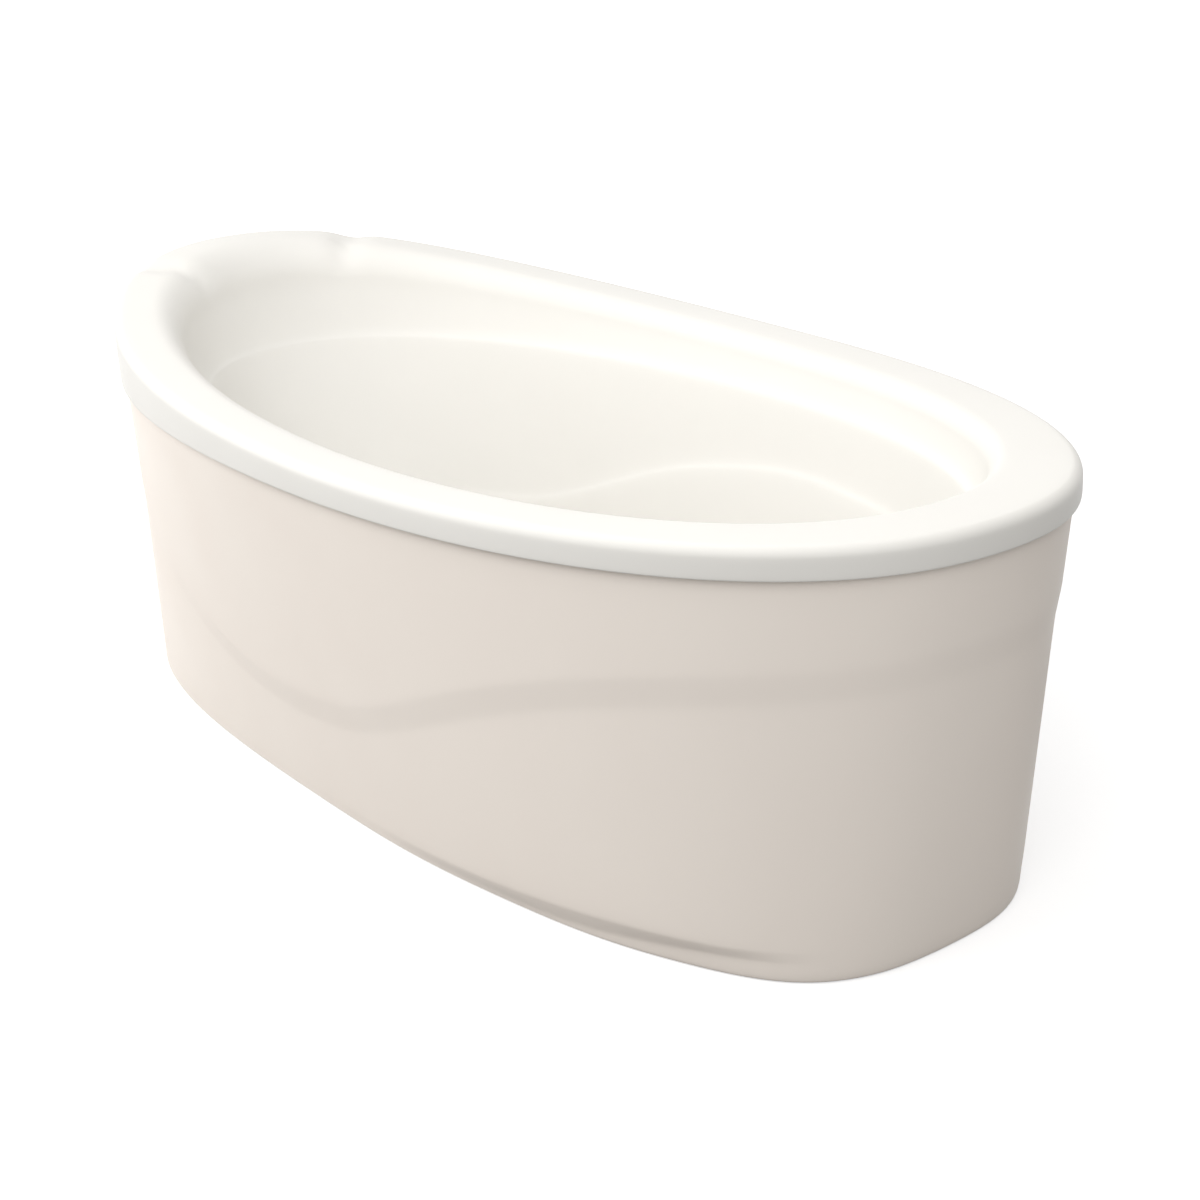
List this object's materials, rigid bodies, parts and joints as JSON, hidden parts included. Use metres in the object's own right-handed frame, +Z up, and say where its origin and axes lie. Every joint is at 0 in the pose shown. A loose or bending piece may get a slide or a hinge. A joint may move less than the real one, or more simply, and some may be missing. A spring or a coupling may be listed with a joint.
{
  "type": "bathtub",
  "caption": "Oval freestanding soaking bathtub with a raised neck rest, a wave-cut apron, a steel frame on levelling feet and a knob-worked pop-up waste.",
  "frame": {"origin": "centre of the tub's length and width, on the floor under its apron", "axes": "+X towards the toe end with the drain, +Y towards the far long side, +Z up"},
  "size_m": [1.7, 0.8706, 0.62],
  "materials": {
    "shell_acrylic": "gloss, warm white",
    "apron_acrylic": "gloss, warm white",
    "block_wood": "sawn plywood",
    "board_wood": "sawn plywood",
    "frame_steel": "satin grey powder coat",
    "zinc_steel": "bright zinc",
    "black_plastic": "moulded matte",
    "chrome_plate": "polished",
    "stainless_steel": "turned",
    "seal_rubber": "matte",
    "waste_plastic": "moulded satin",
    "hose_plastic": "corrugated satin",
    "cable_sheath": "extruded satin",
    "pipe_plastic": "extruded satin"
  },
  "bodies": {
    "tub": {"tub_shell": "shell_acrylic", "apron": "apron_acrylic", "rim_blocks": "block_wood", "apron_brackets": "zinc_steel", "apron_screws": "zinc_steel", "base_board": "board_wood", "board_screws": "zinc_steel", "rail_near": "frame_steel", "rail_far": "frame_steel", "crossbar_head": "frame_steel", "crossbar_middle": "frame_steel", "crossbar_toe": "frame_steel", "frame_bolts": "zinc_steel", "frame_nuts": "zinc_steel", "tube_caps": "black_plastic", "leg_inserts": "zinc_steel", "leg_lock_nuts": "zinc_steel", "drain_flange": "chrome_plate", "drain_gasket_upper": "seal_rubber", "drain_gasket_lower": "seal_rubber", "drain_body": "waste_plastic", "lifter_pin": "stainless_steel", "overflow_plate": "chrome_plate", "overflow_gasket": "seal_rubber", "overflow_elbow": "waste_plastic", "overflow_hose": "hose_plastic", "hose_nuts": "black_plastic", "plug_cable": "cable_sheath", "trap_nut": "black_plastic", "trap_cup": "waste_plastic", "trap_lid": "waste_plastic", "trap_gasket": "seal_rubber", "outlet_nut": "black_plastic", "outlet_pipe": "pipe_plastic"},
    "knob": {"overflow_knob": "chrome_plate", "overflow_spindle": "stainless_steel"},
    "plug": {"drain_plug": "chrome_plate", "plug_seal": "seal_rubber", "plug_stem": "stainless_steel"},
    "lifter": {"plug_lifter": "stainless_steel"},
    "leg_head_near": {"leg_stud_head_near": "zinc_steel", "leg_pad_head_near": "black_plastic"},
    "leg_head_far": {"leg_stud_head_far": "zinc_steel", "leg_pad_head_far": "black_plastic"},
    "leg_middle_near": {"leg_stud_middle_near": "zinc_steel", "leg_pad_middle_near": "black_plastic"},
    "leg_middle_far": {"leg_stud_middle_far": "zinc_steel", "leg_pad_middle_far": "black_plastic"},
    "leg_toe_near": {"leg_stud_toe_near": "zinc_steel", "leg_pad_toe_near": "black_plastic"},
    "leg_toe_far": {"leg_stud_toe_far": "zinc_steel", "leg_pad_toe_far": "black_plastic"}
  },
  "joints": [
    {"name": "knob_turn", "type": "hinge", "parent": "tub", "child": "knob", "pos_m": [0.70684, 0, 0.412], "axis": [-0.9718, 0, 0.2356], "range_deg": [0, 90]},
    {"name": "plug_lift", "type": "slide", "parent": "tub", "child": "plug", "axis": [0, 0, 1], "range_m": [0, 0.01]},
    {"name": "lifter_rock", "type": "hinge", "parent": "tub", "child": "lifter", "pos_m": [0.5, 0, 0.082], "axis": [0, 1, 0], "range_deg": [0, 26]},
    {"name": "leg_head_near_height", "type": "slide", "parent": "tub", "child": "leg_head_near", "axis": [0, 0, -1], "range_m": [-0.004, 0.012]},
    {"name": "leg_head_far_height", "type": "slide", "parent": "tub", "child": "leg_head_far", "axis": [0, 0, -1], "range_m": [-0.004, 0.012]},
    {"name": "leg_middle_near_height", "type": "slide", "parent": "tub", "child": "leg_middle_near", "axis": [0, 0, -1], "range_m": [-0.004, 0.012]},
    {"name": "leg_middle_far_height", "type": "slide", "parent": "tub", "child": "leg_middle_far", "axis": [0, 0, -1], "range_m": [-0.004, 0.012]},
    {"name": "leg_toe_near_height", "type": "slide", "parent": "tub", "child": "leg_toe_near", "axis": [0, 0, -1], "range_m": [-0.004, 0.012]},
    {"name": "leg_toe_far_height", "type": "slide", "parent": "tub", "child": "leg_toe_far", "axis": [0, 0, -1], "range_m": [-0.004, 0.012]}
  ],
  "couplings": [
    {"joint": "plug_lift", "follows": "knob_turn", "m_per_rad": 0.00636},
    {"joint": "lifter_rock", "follows": "knob_turn", "ratio": 0.2888}
  ]
}
